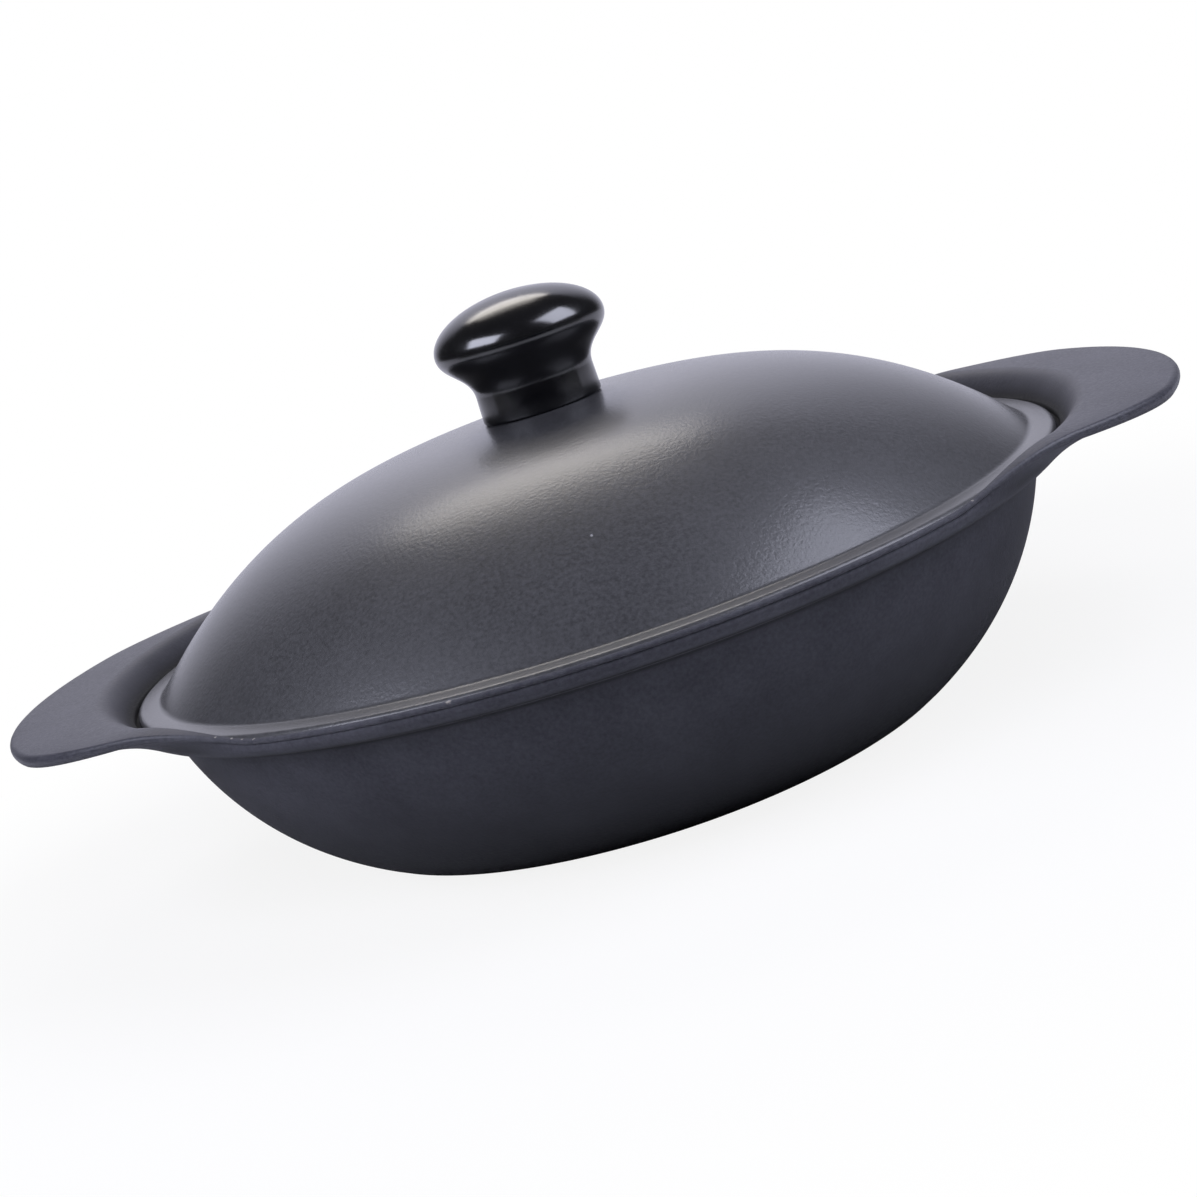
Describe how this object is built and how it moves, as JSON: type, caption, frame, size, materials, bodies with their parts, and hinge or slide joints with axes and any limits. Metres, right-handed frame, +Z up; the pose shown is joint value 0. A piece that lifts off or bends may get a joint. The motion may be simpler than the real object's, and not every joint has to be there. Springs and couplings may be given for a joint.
{
  "type": "cast iron pot",
  "caption": "Shallow round cast iron pot with wing handles cast in one with the bowl, and a lift-off domed lid with a screwed-on black knob.",
  "frame": {"origin": "middle of the flat underside, with the lid on its seat", "axes": "+X along the line through both wing handles, +Y to the back, +Z up along the axis of the bowl, the lid and the knob"},
  "size_m": [0.3002, 0.2418, 0.1212],
  "materials": {
    "seasoned_iron": "fine-grained seasoned casting, dull on the bowl and worn lighter along the rim",
    "satin_iron": "satin dark grey with a fine speckle",
    "black_phenolic": "polished black moulding",
    "brass": "turned",
    "steel": "zinc plated"
  },
  "bodies": {
    "pot": {"pot_body": "seasoned_iron"},
    "lid": {"lid": "satin_iron", "knob": "black_phenolic", "knob_insert": "brass", "knob_screw": "steel", "flat_washer": "steel", "spring_washer": "steel"}
  },
  "joints": [
    {"name": "lid_lift", "type": "slide", "parent": "pot", "child": "lid", "axis": [0, 0, 1], "range_m": [0, 0.12]}
  ]
}
